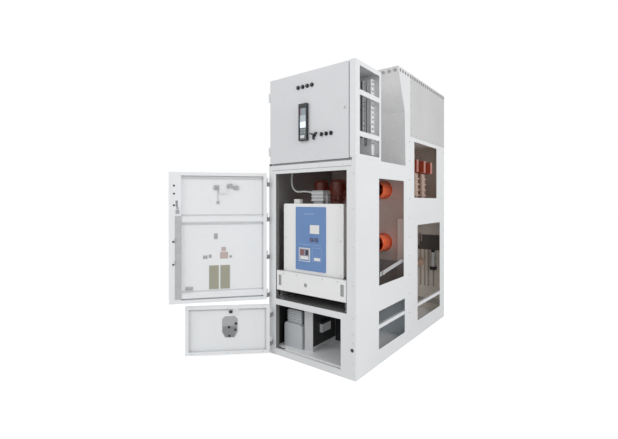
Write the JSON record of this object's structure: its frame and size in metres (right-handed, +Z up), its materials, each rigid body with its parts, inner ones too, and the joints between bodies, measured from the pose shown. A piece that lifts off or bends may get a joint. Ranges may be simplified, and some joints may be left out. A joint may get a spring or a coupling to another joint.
{
  "type": "metal-clad switchgear cubicle with withdrawable circuit breaker",
  "caption": "Tall metal-clad switchgear cubicle with open front doors, a withdrawable circuit breaker, a control compartment on top and windows cut in one side.",
  "frame": {"origin": "on the floor, at the middle of the cubicle's footprint", "axes": "+Z up, -Y towards the front doors, +X to the right of someone facing the front"},
  "size_m": [1.2677, 2.409, 2.313],
  "materials": {
    "white_paint": "satin",
    "coated_steel": "satin",
    "bright_steel": "satin",
    "grey_plastic": "matte",
    "black_plastic": "matte",
    "orange_resin": "gloss",
    "brown_resin": "gloss",
    "dark_resin": "satin",
    "pale_resin": "satin",
    "copper": "satin",
    "beige_paint": "satin",
    "blue_paint": "satin",
    "control_trim": "satin"
  },
  "bodies": {
    "cabinet": {"base_frame": "white_paint", "front_frame": "white_paint", "left_front_wall": "white_paint", "left_rear_wall": "white_paint", "right_front_wall": "white_paint", "right_rear_wall": "white_paint", "mid_partition": "coated_steel", "breaker_floor": "coated_steel", "truck_rails": "coated_steel", "breaker_roof": "coated_steel", "busbar_floor": "coated_steel", "busbar_roof": "coated_steel", "rear_covers": "white_paint", "duct_front": "coated_steel", "duct_side_panels": "coated_steel", "duct_top": "coated_steel", "relief_flaps": "coated_steel", "lv_left_wall": "white_paint", "lv_right_frame": "white_paint", "lv_back": "coated_steel", "lv_top": "white_paint", "lv_wire_ducts": "grey_plastic", "lv_terminals": "black_plastic", "door_hinges": "bright_steel", "floor_plates": "coated_steel", "side_rails": "white_paint", "contact_spouts": "orange_resin", "contact_bars": "copper", "main_busbars": "orange_resin", "busbar_posts": "orange_resin", "current_transformers": "dark_resin", "cable_bars": "copper", "cable_posts": "pale_resin", "earth_bar": "copper", "voltage_transformer": "pale_resin", "divider_plate": "coated_steel", "wiring_trunk": "beige_paint", "shutter_lever": "coated_steel", "conduit_gland": "black_plastic"},
    "lv_door": {"lv_door_panel": "white_paint", "relay": "black_plastic", "lv_switches": "black_plastic"},
    "breaker_door": {"breaker_door_panel": "white_paint", "breaker_door_stiffeners": "white_paint", "breaker_door_handle": "black_plastic"},
    "lower_door": {"lower_door_panel": "white_paint", "lower_door_handle": "black_plastic"},
    "truck": {"truck_chassis": "coated_steel", "truck_wheels": "bright_steel", "truck_front_panel": "beige_paint", "mechanism_housing": "coated_steel", "breaker_cover": "beige_paint", "operating_panel": "blue_paint", "panel_controls": "control_trim", "breaker_poles": "brown_resin", "contact_arms": "orange_resin", "tulip_contacts": "copper", "control_plug": "grey_plastic", "control_conduit": "grey_plastic"}
  },
  "joints": [
    {"name": "lv_door_hinge", "type": "hinge", "parent": "cabinet", "child": "lv_door", "pos_m": [-0.392, -0.906, 1.8], "axis": [0, 0, -1], "range_deg": [0, 110]},
    {"name": "breaker_door_hinge", "type": "hinge", "parent": "cabinet", "child": "breaker_door", "pos_m": [-0.392, -0.928, 0.9], "axis": [0, 0, -1], "range_deg": [-130, 5]},
    {"name": "lower_door_hinge", "type": "hinge", "parent": "cabinet", "child": "lower_door", "pos_m": [-0.356, -0.928, 0.2], "axis": [0, 0, -1], "range_deg": [-136, 4]},
    {"name": "truck_slide", "type": "slide", "parent": "cabinet", "child": "truck", "axis": [0, 1, 0], "range_m": [0, 0.2]}
  ]
}
